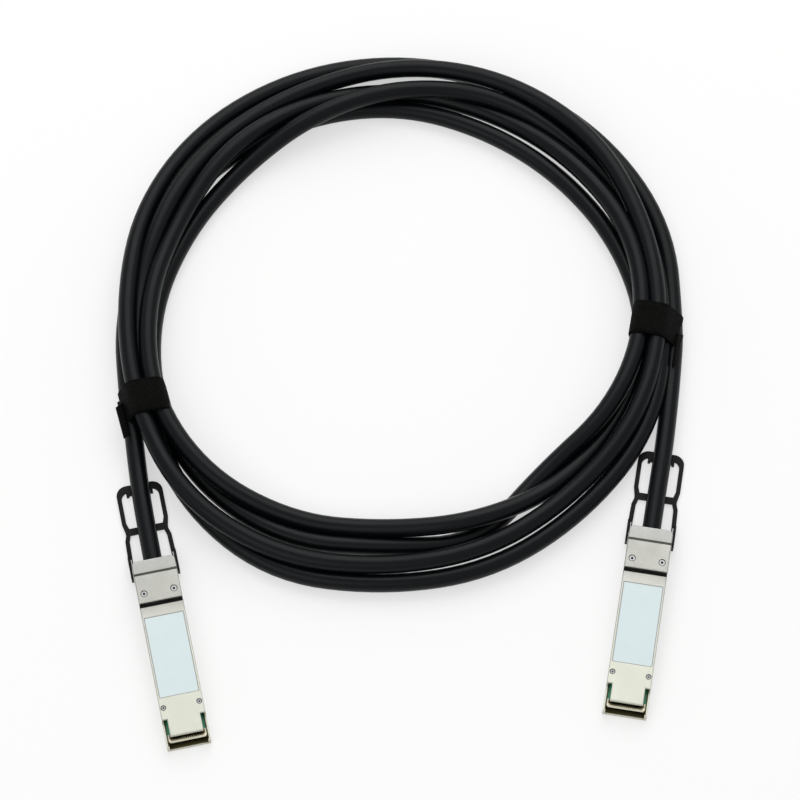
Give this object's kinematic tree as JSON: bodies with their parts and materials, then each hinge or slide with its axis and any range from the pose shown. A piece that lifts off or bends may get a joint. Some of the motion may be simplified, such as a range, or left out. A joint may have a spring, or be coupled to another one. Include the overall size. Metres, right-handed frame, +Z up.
{
  "type": "pluggable direct-attach cable assembly",
  "caption": "Coiled black network cable with a die-cast pluggable connector on each end, sprung pull-tab latches and fabric ties round the coil.",
  "frame": {"origin": "centre of the box round the two plugs, on the table top", "axes": "+X from the left plug to the right one, +Y from the plugs' mouths to the coil, +Z up"},
  "size_m": [0.2509, 0.321, 0.0172],
  "materials": {
    "plated_shell": "satin nickel plate",
    "card_laminate": "solder mask",
    "contact_gold": "gold plate",
    "chip_plastic": "moulded",
    "capacitor_ceramic": "fired ceramic",
    "gasket_rubber": "matt",
    "label_film": "satin film",
    "screw_steel": "plated",
    "latch_steel": "stamped strip",
    "tab_plastic": "moulded satin",
    "ferrule_metal": "crimped",
    "pair_insulation": "foil wrapped",
    "cable_jacket": "satin jacket",
    "tie_fabric": "woven hook and loop"
  },
  "bodies": {
    "cable_and_plugs": {"left_lower_shell": "plated_shell", "left_upper_shell": "plated_shell", "left_paddle_card": "card_laminate", "left_contact_pads": "contact_gold", "left_memory_chip": "chip_plastic", "left_coupling_capacitors": "capacitor_ceramic", "left_shield_gasket": "gasket_rubber", "left_label": "label_film", "left_hood_screws": "screw_steel", "left_front_screws": "screw_steel", "left_return_springs": "latch_steel", "left_crimp_ferrule": "ferrule_metal", "left_twinax_pairs": "pair_insulation", "right_lower_shell": "plated_shell", "right_upper_shell": "plated_shell", "right_paddle_card": "card_laminate", "right_contact_pads": "contact_gold", "right_memory_chip": "chip_plastic", "right_coupling_capacitors": "capacitor_ceramic", "right_shield_gasket": "gasket_rubber", "right_label": "label_film", "right_hood_screws": "screw_steel", "right_front_screws": "screw_steel", "right_return_springs": "latch_steel", "right_crimp_ferrule": "ferrule_metal", "right_twinax_pairs": "pair_insulation", "cable_coil": "cable_jacket", "left_cable_tail": "cable_jacket", "right_cable_tail": "cable_jacket", "left_tie": "tie_fabric", "right_tie": "tie_fabric"},
    "left_latch": {"left_pull_tab": "tab_plastic", "left_latch_arms": "latch_steel"},
    "right_latch": {"right_pull_tab": "tab_plastic", "right_latch_arms": "latch_steel"}
  },
  "joints": [
    {"name": "left_release", "type": "slide", "parent": "cable_and_plugs", "child": "left_latch", "axis": [-0.2079, 0.9781, 0], "range_m": [0, 0.0025], "stiffness_N_per_m": 800, "springref_m": -0.002, "deforming": ["left_return_springs"]},
    {"name": "right_release", "type": "slide", "parent": "cable_and_plugs", "child": "right_latch", "axis": [0.1616, 0.9869, 0], "range_m": [0, 0.0025], "stiffness_N_per_m": 800, "springref_m": -0.002, "deforming": ["right_return_springs"]}
  ]
}
